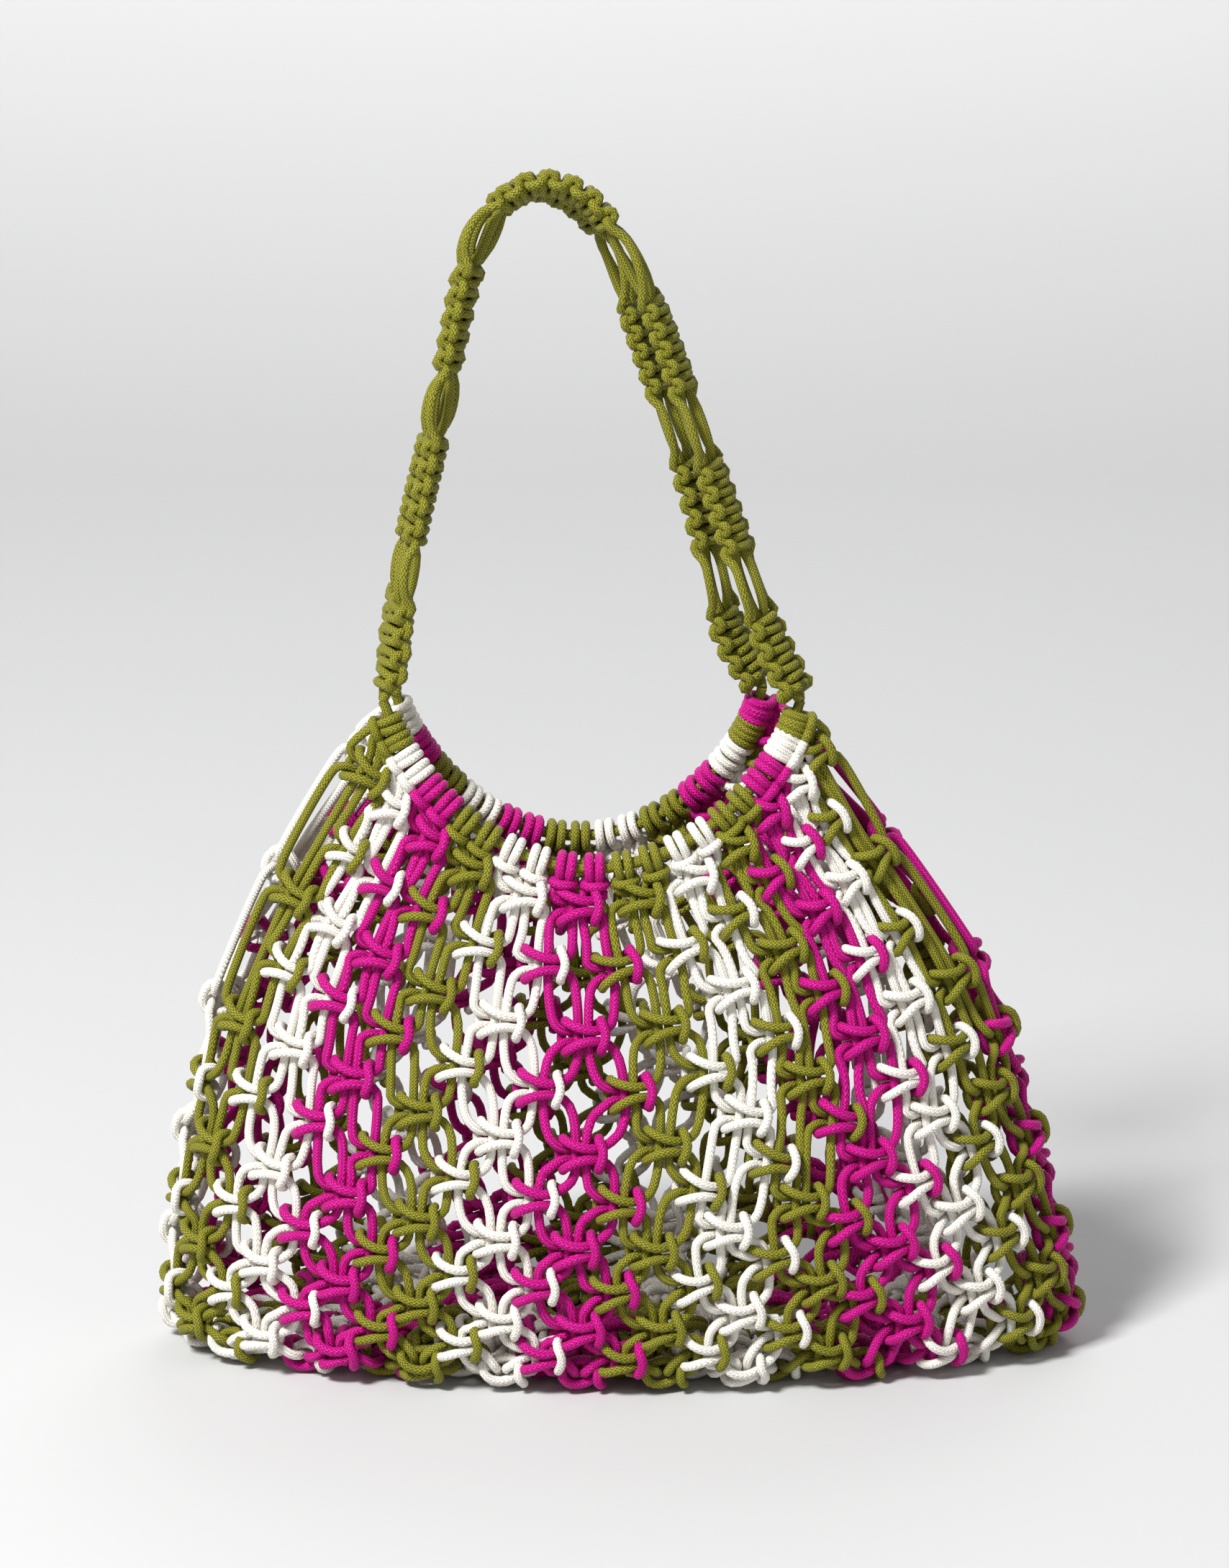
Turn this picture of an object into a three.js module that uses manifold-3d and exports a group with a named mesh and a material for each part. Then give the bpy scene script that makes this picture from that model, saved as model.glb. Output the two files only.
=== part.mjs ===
// A net shoulder bag knotted from thick round cord, in millimetres, +Z up, front towards -Y.
// Each column of square knots is one pierced band that hangs from a rim cord and runs down
// the wall and under the base to a middle seam. Two knotted straps join the ends of the rims.

import * as THREE from 'three';
import * as BufferGeometryUtils from 'three/addons/utils/BufferGeometryUtils.js';
import Module from 'manifold-3d';

const wasm = await Module();
wasm.setup();

// The bag
const bodyWidth = 400;
const bodyDepth = 160;
const rimHeight = 282; // at its two ends, where the straps start
const rimSag = 64; // how far the middle of a rim hangs below its ends
const rimSpan = 171; // between the two ends of the front rim
const rimDepth = 54; // between the middles of the front and back rims
const rimLean = 12; // the mouth sits this far to the left of the base
const backTuck = 9; // the back rim is this much shorter at each end
const backLean = 6; // and sits this much further to the left
const backTop = 0.6; // both from this share of the wall's height up to the rim
const slitGap = 26; // between the front and back rims at their ends
const sideSag = 10; // the joined side edges hang lower than the columns beside them
const sagWidth = 0.08; // within this share of a panel's width from its edges
const sagRow = 5; // and in full from this row down
const levelEdge = 0.85; // a row's ends run level beyond this share of the half width
const foldRadius = 10; // where the wall turns under
const seamInset = 26; // the base seam stops short of the fold at each end

// The cords and knots
const cordDiameter = 5;
const cordPair = 2 * cordDiameter;
const knotWidth = 21;
const knotThickness = 14;
const wrapThickness = 4; // the cord of the wraps is pressed flat on the rim cord
const strandThickness = 6;
const clearance = 0.3;

// The straps
const strapTop = 499; // middle of the strap at the top of its arch
const strapSpacing = 19; // between the middles of the front and back straps
const strapWidth = 17;
const strapThickness = 13;
const strapSlackWidth = 20; // across the loose cords between the knotted lengths
const strapStep = 9; // one square knot along the strap
const mergeHeight = 0.3; // the straps close up to their spacing by this share of their height
const coreTail = 5; // the rim cord comes bare out of its wraps for this length
const coreGap = 0.4; // between the end of the rim cord and the strap

// The net
const columns = 12;
const wallRows = 10; // the last even row of knots that shows
const lastRow = 14; // the row at the base seam
const slitRows = 4; // above this row the two panels aren't joined at the sides
const bandSpacing = 0.5;
const rimRow = -0.6;
const knotReach = 0.28; // half the height of a knot, as a share of the row pitch
const baseRows = [wallRows + 1 - knotReach, 11.4, 12.1, 12.8, lastRow]; // bends of the base
const gapStart = 0.42; // from a knot's row to the top corner of the gap under it
const narrowGap = 0.1; // the least half width of a gap, as a share of the pitch
const neckShare = 0.34; // half the width of a band under its wraps, as a share of the pitch
const waistLimit = 0.42; // a knot is never wider than this share of the pitch each way

const cordColours = {
  green: 0x8d9133,
  white: 0xe9e6dc,
  pink: 0xe0189f,
};
const frontColours = ['green', 'white', 'pink', 'green', 'white', 'pink',
  'green', 'white', 'green', 'pink', 'white', 'green'];
const backColours = ['white', 'pink', 'green', 'white', 'pink', 'green',
  'white', 'green', 'pink', 'white', 'green', 'pink'];

// Sections of the bag from the rim down to the fold. Height is a share of the wall, width and
// depth are shares of the body at the fold, and at the rim those of the rim's own span and depth
// take over. Lean follows rimLean, slit follows slitGap.
const sections = [
  { height: 0, width: 1, depth: 0.975, lean: 0, slit: 0 },
  { height: 0.042, width: 1, depth: 0.985, lean: 0, slit: 0 },
  { height: 0.157, width: 0.974, depth: 0.993, lean: 0.2, slit: 0 },
  { height: 0.28, width: 0.943, depth: 0.963, lean: 0.38, slit: 0 },
  { height: 0.391, width: 0.902, depth: 0.892, lean: 0.45, slit: 0 },
  { height: 0.502, width: 0.866, depth: 0.8, lean: 0.5, slit: 0.1 },
  { height: 0.629, width: 0.794, depth: 0.69, lean: 0.7, slit: 0.3 },
  { height: 0.766, width: 0.675, depth: 0.568, lean: 0.92, slit: 0.6 },
  { height: 0.873, width: 0.567, depth: 0.476, lean: 1.15, slit: 0.8 },
  { height: 0.96, width: 0.5, depth: 0.4, lean: 1.1, slit: 0.95 },
];

// How far down the wall the even rows of knots lie, as shares of the wall: at the middle of a
// panel, and towards its left and right edges. The last row has started to turn under.
const rowDrops = [
  { row: 0, middle: 0.075, left: 0.053, right: 0.043 },
  { row: 2, middle: 0.337, left: 0.243, right: 0.195 },
  { row: 4, middle: 0.567, left: 0.448, right: 0.38 },
  { row: 6, middle: 0.77, left: 0.665, right: 0.57 },
  { row: 8, middle: 0.94, left: 0.845, right: 0.74 },
  { row: 10, middle: 1.065, left: 0.99, right: 0.905 },
];

// Where the columns lie along a row, as shares of the row's length added to an even spacing:
// crowded to the ends, drifting to the right, and the back panel wrapping round the sides.
const rowSpreads = [
  { row: -0.6, crowd: 0.09, drift: 0.04, wrap: 0 },
  { row: 0, crowd: 0.057, drift: 0.04, wrap: 0 },
  { row: 2, crowd: 0.046, drift: 0.035, wrap: 0.012 },
  { row: 4, crowd: 0.022, drift: 0.018, wrap: 0.02 },
  { row: 6, crowd: 0, drift: 0, wrap: 0.02 },
];

// The straps' routes from the left end of a rim, over the arch, to the right end. Across is a
// share of half the rim's span, up a share of the height from the rim's ends to the arch.
const frontRoute = [
  { across: -0.985, up: 0.18 }, { across: -0.9, up: 0.34 },
  { across: -0.77, up: 0.54 }, { across: -0.685, up: 0.7 }, { across: -0.59, up: 0.86 },
  { across: -0.47, up: 0.96 }, { across: -0.27, up: 1 }, { across: -0.08, up: 0.965 },
  { across: 0.08, up: 0.89 }, { across: 0.26, up: 0.76 }, { across: 0.52, up: 0.54 },
  { across: 0.72, up: 0.32 }, { across: 0.87, up: 0.16 },
];
const backRoute = [
  { across: -0.955, up: 0.18 }, { across: -0.88, up: 0.34 },
  { across: -0.76, up: 0.54 }, { across: -0.67, up: 0.7 }, { across: -0.58, up: 0.86 },
  { across: -0.47, up: 0.96 }, { across: -0.28, up: 1 }, { across: -0.1, up: 0.96 },
  { across: 0.06, up: 0.87 }, { across: 0.17, up: 0.74 }, { across: 0.35, up: 0.52 },
  { across: 0.52, up: 0.32 }, { across: 0.67, up: 0.17 },
];

// Which lengths of a strap are knotted, as shares of its length. Loose cords lie between them.
const strapKnots = [
  { start: 0, end: 0.125 }, { start: 0.195, end: 0.325 }, { start: 0.39, end: 0.44 },
  { start: 0.5, end: 0.61 }, { start: 0.675, end: 0.775 }, { start: 0.83, end: 1 },
];

const halfWidth = (bodyWidth - knotThickness) / 2;
const halfDepth = (bodyDepth - knotThickness) / 2;
const baseMiddle = knotThickness / 2;
const foldTop = baseMiddle + foldRadius;
const foldLength = foldRadius * Math.PI / 2;
const front = -1;
const back = 1;
const slopeStep = 0.5; // the net's slope is taken over this length
const rimStep = 0.1; // and the rim's over this share of a column each way
const mergeTolerance = 0.001;

function mix(rows, key, at, name) {
  const last = rows.length - 1;
  if (at <= rows[0][key]) return rows[0][name];
  if (at >= rows[last][key]) return rows[last][name];
  const next = rows.findIndex((row) => row[key] > at);
  const part = (at - rows[next - 1][key]) / (rows[next][key] - rows[next - 1][key]);
  return THREE.MathUtils.lerp(rows[next - 1][name], rows[next][name], part);
}

const rimSection = {
  height: 1,
  width: rimSpan / 2 / halfWidth,
  depth: rimDepth / 2 / halfDepth,
  lean: 1,
  slit: 1,
};
const wallSections = [...sections, rimSection];

// The line that one panel follows in plan: a half ellipse, flatter at its ends towards the rim.
class PanelRing extends THREE.Curve {
  constructor(reach, bulge, flatness) {
    super();
    Object.assign(this, { reach, bulge, flatness });
  }

  getPoint(t) {
    const angle = Math.PI * t;
    return new THREE.Vector2(
      -this.reach * Math.cos(angle),
      this.bulge * Math.abs(Math.sin(angle)) ** (1 + this.flatness),
    );
  }
}

// A place on the panel's ring at a share of the wall height and of the panel's width. A share
// under 0 or over 1 goes on round the end of the ring.
function ringPlace(side, height, share) {
  const value = (name) => mix(wallSections, 'height', height, name);
  const upper = side === back ? Math.max((height - backTop) / (1 - backTop), 0) ** 2 : 0;
  const slit = (value('slit') * slitGap + clearance) / 2;
  const ring = new PanelRing(
    value('width') * halfWidth - backTuck * upper,
    value('depth') * halfDepth - slit,
    value('slit') ** 4,
  );
  const lean = -value('lean') * rimLean - backLean * upper;
  const turn = share < 0 || share > 1 ? -1 : 1;
  const t = ring.getUtoTmapping(1 - Math.abs(1 - Math.abs(share)));
  const flat = ring.getPoint(t);
  const along = ring.getTangent(t);
  return {
    point: new THREE.Vector3(lean + flat.x, side * (slit + turn * flat.y), 0),
    along: new THREE.Vector3(turn * along.x, side * along.y, 0),
    rise: Math.sin(Math.PI * t),
  };
}

function wallHeight(side, share) {
  return rimHeight - rimSag * ringPlace(side, 1, share).rise ** 1.5 - foldTop;
}

// The middle of the net: drop is 0 where the wall starts to turn under, negative above that,
// and grows round the fold and along the base to the seam.
function netPoint(side, share, drop) {
  const turn = THREE.MathUtils.clamp(drop / foldRadius, 0, Math.PI / 2);
  const height = Math.max(-drop / wallHeight(side, share), 0);
  const { point, along } = ringPlace(side, height, share);
  const inward = new THREE.Vector3(-along.y, along.x, 0).multiplyScalar(-side);
  point.addScaledVector(inward, foldRadius * (1 - Math.cos(turn)));
  point.z = foldTop - Math.min(drop, 0) - foldRadius * Math.sin(turn);
  if (drop > foldLength) {
    const end = seamEnd(side, point);
    point.lerp(end, (drop - foldLength) / point.distanceTo(end));
  }
  return { point, along };
}

function seamEnd(side, edge) {
  const reach = halfWidth - foldRadius;
  return new THREE.Vector3(edge.x * (1 - seamInset / reach), side * clearance / 2, baseMiddle);
}

function seamDrop(side, share) {
  const { point } = netPoint(side, share, foldLength);
  return foldLength + point.distanceTo(seamEnd(side, point));
}

// The drop of a row at a share of the panel's width.
function rowDrop(side, share, row) {
  const wall = wallHeight(side, share);
  const away = THREE.MathUtils.smoothstep(Math.abs(2 * share - 1), 0, levelEdge);
  const edge = share < 0.5 ? 'left' : 'right';
  const nearEnd = Math.max(1 - Math.min(share, 1 - share) / sagWidth, 0);
  const sag = sideSag * nearEnd * THREE.MathUtils.clamp(row / sagRow, 0, 1);
  const stopDrop = (stop) => wall * (THREE.MathUtils.lerp(stop.middle, stop[edge], away) - 1);
  const wallEnd = rowDrops[rowDrops.length - 1];
  if (row > wallEnd.row) {
    const part = (row - wallEnd.row) / (lastRow - wallEnd.row);
    return THREE.MathUtils.lerp(stopDrop(wallEnd) + sag, seamDrop(side, share), part);
  }
  const next = rowDrops.find((stop) => stop.row > row) ?? wallEnd;
  const stop = next === rowDrops[0] ? rowDrops[1] : next;
  const before = rowDrops[rowDrops.indexOf(stop) - 1];
  const part = (row - before.row) / (stop.row - before.row);
  return THREE.MathUtils.lerp(stopDrop(before), stopDrop(stop), part) + sag;
}

// The row at a drop, found between whole rows.
function rowAtDrop(side, share, drop) {
  let row = -1;
  while (row < lastRow - 1 && rowDrop(side, share, row + 1) < drop) row += 1;
  const above = rowDrop(side, share, row);
  return row + (drop - above) / (rowDrop(side, share, row + 1) - above);
}

// The share of a panel's width at a place counted in columns.
function columnShare(side, column, row) {
  const even = column / columns;
  const value = (name) => mix(rowSpreads, 'row', row, name);
  return even - value('crowd') * Math.sin(2 * Math.PI * even)
    + value('drift') * 2 * even * Math.sin(Math.PI * even)
    - side * value('wrap') * Math.cos(Math.PI * even);
}

// A place on the net counted in columns and rows, and the direction straight out of the bag there.
function placeAt(side, column, row) {
  const share = columnShare(side, column, row);
  const drop = rowDrop(side, share, row);
  const { point, along } = netPoint(side, share, drop);
  const below = netPoint(side, share, drop + slopeStep).point;
  const outward = along.clone().cross(below.sub(point)).multiplyScalar(side).normalize();
  return { point, outward };
}

function pitchAt(side, column, row) {
  const left = placeAt(side, column - 0.5, row).point;
  return left.distanceTo(placeAt(side, column + 0.5, row).point);
}

// A place on the rim: its middle, and the directions outward and down across it.
function rimFrame(side, column) {
  const at = (place) => {
    const share = columnShare(side, place, rimRow);
    return netPoint(side, share, -wallHeight(side, share));
  };
  const inside = column > 0 && column < columns;
  const before = at(inside ? column - rimStep : Math.min(column, columns - 1)).point;
  const after = at(inside ? column + rimStep : Math.max(column, 1)).point;
  const forward = after.sub(before).normalize();
  const { point } = at(column);
  const down = new THREE.Vector3(0, side, 0).cross(forward).normalize();
  const outward = new THREE.Vector3().crossVectors(forward, down).multiplyScalar(side);
  if (down.z > 0) down.negate();
  return { point, outward, down };
}

function bend(geometry, place) {
  const position = geometry.attributes.position;
  const vertex = new THREE.Vector3();
  for (let i = 0; i < position.count; i += 1) {
    vertex.fromBufferAttribute(position, i);
    position.setXYZ(i, ...place(vertex).toArray());
  }
  return geometry;
}

function toSolid(geometry) {
  if (geometry.attributes.normal) geometry.deleteAttribute('normal');
  if (geometry.attributes.uv) geometry.deleteAttribute('uv');
  const merged = BufferGeometryUtils.mergeVertices(geometry, mergeTolerance);
  const mesh = new wasm.Mesh({
    numProp: 3,
    vertProperties: merged.attributes.position.array,
    triVerts: merged.index.array,
  });
  const solid = new wasm.Manifold(mesh);
  return solid.volume() > 0 ? solid : turnedOut(mesh);
}

// The same mesh with its faces turned to point outward.
function turnedOut(mesh) {
  const triVerts = mesh.triVerts.slice();
  for (let i = 0; i < triVerts.length; i += 3) {
    [triVerts[i], triVerts[i + 1]] = [triVerts[i + 1], triVerts[i]];
  }
  return new wasm.Manifold(new wasm.Mesh({ numProp: 3, vertProperties: mesh.vertProperties, triVerts }));
}

function toMesh(solid, name, colour) {
  const { vertProperties, triVerts } = solid.getMesh();
  const geometry = new THREE.BufferGeometry();
  geometry.setAttribute('position', new THREE.BufferAttribute(vertProperties, 3));
  geometry.setIndex(new THREE.BufferAttribute(triVerts, 1));
  geometry.computeVertexNormals();
  const material = new THREE.MeshStandardMaterial({
    color: cordColours[colour], roughness: 0.85, metalness: 0,
  });
  material.name = `cord_${colour}`;
  const mesh = new THREE.Mesh(geometry, material);
  mesh.name = name;
  return mesh;
}

const squareSection = [[1, 1], [-1, 1], [-1, -1], [1, -1]];
const roundedSection = [[1, 0], [0.55, 1], [-0.55, 1], [-1, 0], [-0.55, -1], [0.55, -1]];

function sectionShape(corners, halfAcross, halfDown) {
  return new THREE.Shape(corners.map(([across, down]) => (
    new THREE.Vector2(across * halfAcross, down * halfDown))));
}

// A bar along the rim through a list of places counted in columns.
function rimBar(side, section, places) {
  const steps = places.length - 1;
  const geometry = new THREE.ExtrudeGeometry(section, { depth: 1, steps, bevelEnabled: false });
  const frames = places.map((column) => barFrame(side, column));
  return toSolid(bend(geometry, (vertex) => {
    const { point, outward, down } = frames[Math.round(vertex.z * steps)];
    return point.clone().addScaledVector(outward, vertex.x).addScaledVector(down, vertex.y);
  }));
}

// The rim's frame, taken straight between whole columns so that cord and wraps run parallel, and
// straight on past its ends.
function barFrame(side, column) {
  const before = THREE.MathUtils.clamp(Math.floor(column), 0, columns - 1);
  const a = rimFrame(side, before);
  const b = rimFrame(side, before + 1);
  const part = column - before;
  const turn = THREE.MathUtils.clamp(part, 0, 1);
  return {
    point: a.point.lerp(b.point, part),
    outward: a.outward.lerp(b.outward, turn),
    down: a.down.lerp(b.down, turn),
  };
}

const coreAcross = cordDiameter;
const coreDown = cordDiameter / 2;

// The places that a rim cord runs through. It comes bare out of the wraps at both ends.
function corePlaces(side) {
  const tail = (column) => coreTail / rimFrame(side, column).point
    .distanceTo(rimFrame(side, column + 1).point);
  const inner = Array.from({ length: columns - 1 }, (_, i) => i + 1);
  return [-tail(0), ...inner, columns + tail(columns - 1)];
}

function rimCore(side) {
  return rimBar(side, sectionShape(squareSection, coreAcross, coreDown), corePlaces(side));
}

// The wraps of one band round the rim cord, with some room round them where they are a cutter.
function rimWrap(side, index, room = 0) {
  const start = rimFrame(side, index).point;
  const gap = clearance / 2 / start.distanceTo(rimFrame(side, index + 1).point);
  const across = coreAcross + wrapThickness + room;
  const down = coreDown + cordDiameter + room;
  const section = sectionShape(roundedSection, across, down);
  return rimBar(side, section, [index + gap, index + 1 - gap]);
}

function rimChannel(side) {
  const section = sectionShape(squareSection, coreAcross + clearance, coreDown + clearance);
  return rimBar(side, section, corePlaces(side));
}

// A place on one edge of a band, counted in columns and rows. Hand is -1 for its left edge and
// 1 for its right. At a knot the band is as wide as the knot, between knots as wide as the column.
function waist(side, index, hand, row) {
  const middle = index + 0.5;
  const half = Math.min(knotWidth / 2 / pitchAt(side, middle, row), waistLimit);
  return { column: middle + hand * half, row };
}

// The two outermost edges of a panel meet the other panel, not a neighbour.
function isPanelEdge(index, hand) {
  return hand < 0 ? index === 0 : index === columns - 1;
}

function isSlit(index, hand, row) {
  return row < slitRows && isPanelEdge(index, hand);
}

function fullWidth(side, index, hand, row) {
  const middle = index + 0.5;
  const room = isPanelEdge(index, hand) ? 0 : bandSpacing / 2 / pitchAt(side, middle, row);
  return { column: middle + hand * (0.5 - room), row };
}

// One edge of the strands between the knots of two even rows. At a slit they run straight down.
function strandEdge(side, index, hand, row) {
  const start = waist(side, index, hand, row + knotReach);
  const end = waist(side, index, hand, row + 2 - knotReach);
  if (isSlit(index, hand, row)) return [start, end];
  return [
    start,
    fullWidth(side, index, hand, row + 1 - knotReach),
    fullWidth(side, index, hand, row + 1 + knotReach),
    end,
  ];
}

// The corners of the gap between two knots of the same column.
function bandGap(side, index, row) {
  const middle = index + 0.5;
  const reach = (hand) => {
    if (isSlit(index, hand, row)) return narrowGap;
    return Math.max(0.5 - cordPair / pitchAt(side, middle, row + 1), narrowGap);
  };
  return [
    { column: middle, row: row + gapStart },
    { column: middle + reach(1), row: row + 1 },
    { column: middle, row: row + 2 - gapStart },
    { column: middle - reach(-1), row: row + 1 },
  ];
}

// Half the thickness of the net: full at the knots, a strand's between them.
function halfThickness(column, row) {
  if (row >= wallRows) return knotThickness / 2;
  const even = Math.abs(Math.cos(Math.PI * row / 2) * Math.sin(Math.PI * column));
  const odd = Math.abs(Math.sin(Math.PI * row / 2) * Math.cos(Math.PI * column));
  return THREE.MathUtils.lerp(strandThickness, knotThickness, Math.max(even, odd)) / 2;
}

// Flat patterns are drawn with one column and one row as about as large as they really are.
const flatColumn = 33;
const flatRow = 22;

function flatPiece(left, right, gap) {
  const toFlat = ({ column, row }) => new THREE.Vector2(column * flatColumn, -row * flatRow);
  const shape = new THREE.Shape([...left, ...right.toReversed()].map(toFlat));
  if (gap) shape.holes.push(new THREE.Path(gap.map(toFlat)));
  return new THREE.ShapeGeometry(shape);
}

// A band's flat pattern: the neck under the wraps, knots, pierced strands and the closed base.
function bandPattern(side, index) {
  const both = (edge) => [edge(-1), edge(1)];
  const knot = (row) => flatPiece(...both((hand) => (
    [-knotReach, knotReach].map((part) => waist(side, index, hand, row + part)))));
  const strands = (row) => flatPiece(
    ...both((hand) => strandEdge(side, index, hand, row)),
    bandGap(side, index, row),
  );
  const neck = flatPiece(...both((hand) => {
    const column = index + 0.5 + hand * neckShare;
    const share = columnShare(side, column, rimRow);
    const row = rowAtDrop(side, share, -wallHeight(side, share));
    return [{ column, row }, waist(side, index, hand, -knotReach)];
  }));
  const pieces = [neck, knot(0)];
  for (let row = 0; row < wallRows; row += 2) pieces.push(strands(row), knot(row + 2));
  const baseEdge = (row) => both((hand) => fullWidth(side, index, hand, row));
  let upper = both((hand) => waist(side, index, hand, wallRows + knotReach));
  for (const row of baseRows) {
    const lower = baseEdge(row);
    pieces.push(flatPiece([upper[0], lower[0]], [upper[1], lower[1]]));
    upper = lower;
  }
  const pattern = BufferGeometryUtils.mergeGeometries(pieces);
  return BufferGeometryUtils.mergeVertices(pattern, mergeTolerance);
}

// Gives a flat pattern its place and thickness: two faces, and walls along its open edges.
function thicken(pattern, place) {
  const { position } = pattern.attributes;
  const flat = Array.from({ length: position.count }, (_, i) => (
    new THREE.Vector3().fromBufferAttribute(position, i)));
  const vertices = [-1, 1].flatMap((face) => flat.map((point) => place(point, face)));
  const faces = [];
  const edges = new Set();
  const triangles = pattern.index.array;
  for (let i = 0; i < triangles.length; i += 3) {
    const [a, b, c] = triangles.slice(i, i + 3);
    faces.push(a, c, b, a + flat.length, b + flat.length, c + flat.length);
    for (const [from, to] of [[a, b], [b, c], [c, a]]) edges.add(`${from} ${to}`);
  }
  for (const edge of edges) {
    const [from, to] = edge.split(' ').map(Number);
    if (edges.has(`${to} ${from}`)) continue;
    faces.push(from, to, to + flat.length, from, to + flat.length, from + flat.length);
  }
  return new THREE.BufferGeometry().setFromPoints(vertices).setIndex(faces);
}

function band(side, index) {
  const net = toSolid(thicken(bandPattern(side, index), (flat, face) => {
    const column = flat.x / flatColumn;
    const row = -flat.y / flatRow;
    const { point, outward } = placeAt(side, column, row);
    return point.addScaledVector(outward, face * halfThickness(column, row));
  }));
  const others = [index - 1, index + 1].filter((other) => other >= 0 && other < columns);
  return others.reduce(
    (solid, other) => solid.subtract(rimWrap(side, other, clearance)),
    net.add(rimWrap(side, index)).subtract(rimChannel(side)),
  );
}

// A strap starts face to face with the end of the rim cord and leaves it in the same line.
function strapEnds(side) {
  const places = corePlaces(side);
  return [[places[0], places[1]], [places[columns], places[columns - 1]]].map(([end, inner]) => {
    const { point } = barFrame(side, end);
    const onward = point.clone().sub(barFrame(side, inner).point).normalize();
    const start = point.addScaledVector(onward, coreGap);
    return [start, start.clone().addScaledVector(onward, strapStep)];
  });
}

function strapCurve(side) {
  const route = side === front ? frontRoute : backRoute;
  const [left, right] = strapEnds(side);
  const arch = route.map(({ across, up }) => {
    const apart = THREE.MathUtils.lerp(slitGap, strapSpacing, Math.min(up / mergeHeight, 1));
    const height = THREE.MathUtils.lerp(rimHeight, strapTop, up);
    return new THREE.Vector3(across * rimSpan / 2 - rimLean, side * apart / 2, height);
  });
  return new THREE.CatmullRomCurve3([...left, ...arch, ...right.reverse()]);
}

// Half the width and thickness of a strap at a share of its length: knots, or loose cords that
// bow apart.
function strapHalfSize(share) {
  const knotted = strapKnots.some(({ start, end }) => share >= start && share <= end);
  return knotted
    ? { width: strapWidth / 2, thickness: strapThickness / 2 }
    : { width: strapSlackWidth / 2, thickness: strandThickness / 2 };
}

// A strap is a flat bar, bent along its route.
function strap(side) {
  const curve = strapCurve(side);
  const steps = Math.round(curve.getLength() / strapStep);
  const square = sectionShape(squareSection, 1, 1);
  const bar = new THREE.ExtrudeGeometry(square, { depth: 1, steps, bevelEnabled: false });
  return toSolid(bend(bar, (vertex) => {
    const share = THREE.MathUtils.clamp(vertex.z, 0, 1);
    const forward = curve.getTangentAt(share);
    const across = new THREE.Vector3(0, 1, 0).cross(forward).normalize();
    const through = new THREE.Vector3().crossVectors(forward, across);
    const half = strapHalfSize(share);
    return curve.getPointAt(share)
      .addScaledVector(across, vertex.x * half.width)
      .addScaledVector(through, vertex.y * half.thickness);
  }));
}

const bag = new THREE.Group();

for (const [side, panel, colours] of [[front, 'front', frontColours], [back, 'back', backColours]]) {
  colours.forEach((colour, index) => {
    const number = String(index + 1).padStart(2, '0');
    bag.add(toMesh(band(side, index), `band_${panel}_${number}_${colour}`, colour));
  });
  bag.add(toMesh(rimCore(side), `rim_core_${panel}`, 'green'));
  bag.add(toMesh(strap(side), `strap_${panel}`, 'green'));
}

// The middle of the whole length sits over the origin.
const extent = new THREE.Box3().setFromObject(bag);
bag.position.x = -(extent.min.x + extent.max.x) / 2;

export default bag;
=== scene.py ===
# %% [markdown]
# # A net shoulder bag, knotted cord by cord
# The bag is tied from thick round braided cord. Each colour column starts as doubled cords looped
# over a rim cord, and comes down as rows of square knots. Here every cord is a real tube that
# follows the route it takes through the knots, so the open net is open from all sides. The packed
# model gives the bag's place and size, and this script only dresses it.

# %% Load the frame
import math

import bmesh
import bpy
import numpy as np
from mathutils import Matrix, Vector


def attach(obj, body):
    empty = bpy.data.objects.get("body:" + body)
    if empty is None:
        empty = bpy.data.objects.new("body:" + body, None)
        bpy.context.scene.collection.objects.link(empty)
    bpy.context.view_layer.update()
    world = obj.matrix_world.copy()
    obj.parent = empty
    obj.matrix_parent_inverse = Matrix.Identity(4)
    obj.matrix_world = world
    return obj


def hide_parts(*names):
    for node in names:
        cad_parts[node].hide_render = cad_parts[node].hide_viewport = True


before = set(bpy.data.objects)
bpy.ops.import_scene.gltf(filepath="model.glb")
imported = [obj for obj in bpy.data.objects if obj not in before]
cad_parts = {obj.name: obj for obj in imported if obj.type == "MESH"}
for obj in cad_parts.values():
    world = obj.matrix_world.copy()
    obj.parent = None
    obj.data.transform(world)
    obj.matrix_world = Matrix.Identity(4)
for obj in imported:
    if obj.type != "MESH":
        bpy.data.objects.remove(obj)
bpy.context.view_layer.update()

# %% [markdown]
# ## The camera
# The photograph was taken with a longish lens from a little above the bag. A camera that looks
# down by fourteen degrees at a point just under the mouth gives the same ellipses at the rim and
# the same rounding at the base.

# %% Camera
camera_down = math.radians(14)
camera_distance = 2.2
camera_target = Vector((-0.0034, 0, 0.2474))
camera_lens = 119.7  # millimetres, as the sensor
sensor_width = 36

camera_data = bpy.data.cameras.new("camera")
camera_data.lens = camera_lens
camera_data.sensor_width = sensor_width
camera = bpy.data.objects.new("camera", camera_data)
camera.location = camera_target + camera_distance * Vector(
    (0, -math.cos(camera_down), math.sin(camera_down)))
camera.rotation_euler = (math.pi / 2 - camera_down, 0, 0)
bpy.context.collection.objects.link(camera)
bpy.context.scene.camera = camera
print("camera at", [round(v, 3) for v in camera.location])

# %% [markdown]
# ## The studio
# The bag stands on a pale sweep of paper that bends up behind it. The lamps are nearest to the
# floor, so the paper is darker there than where it rises, and the rising part glows a little. That
# keeps the background even.

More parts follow.
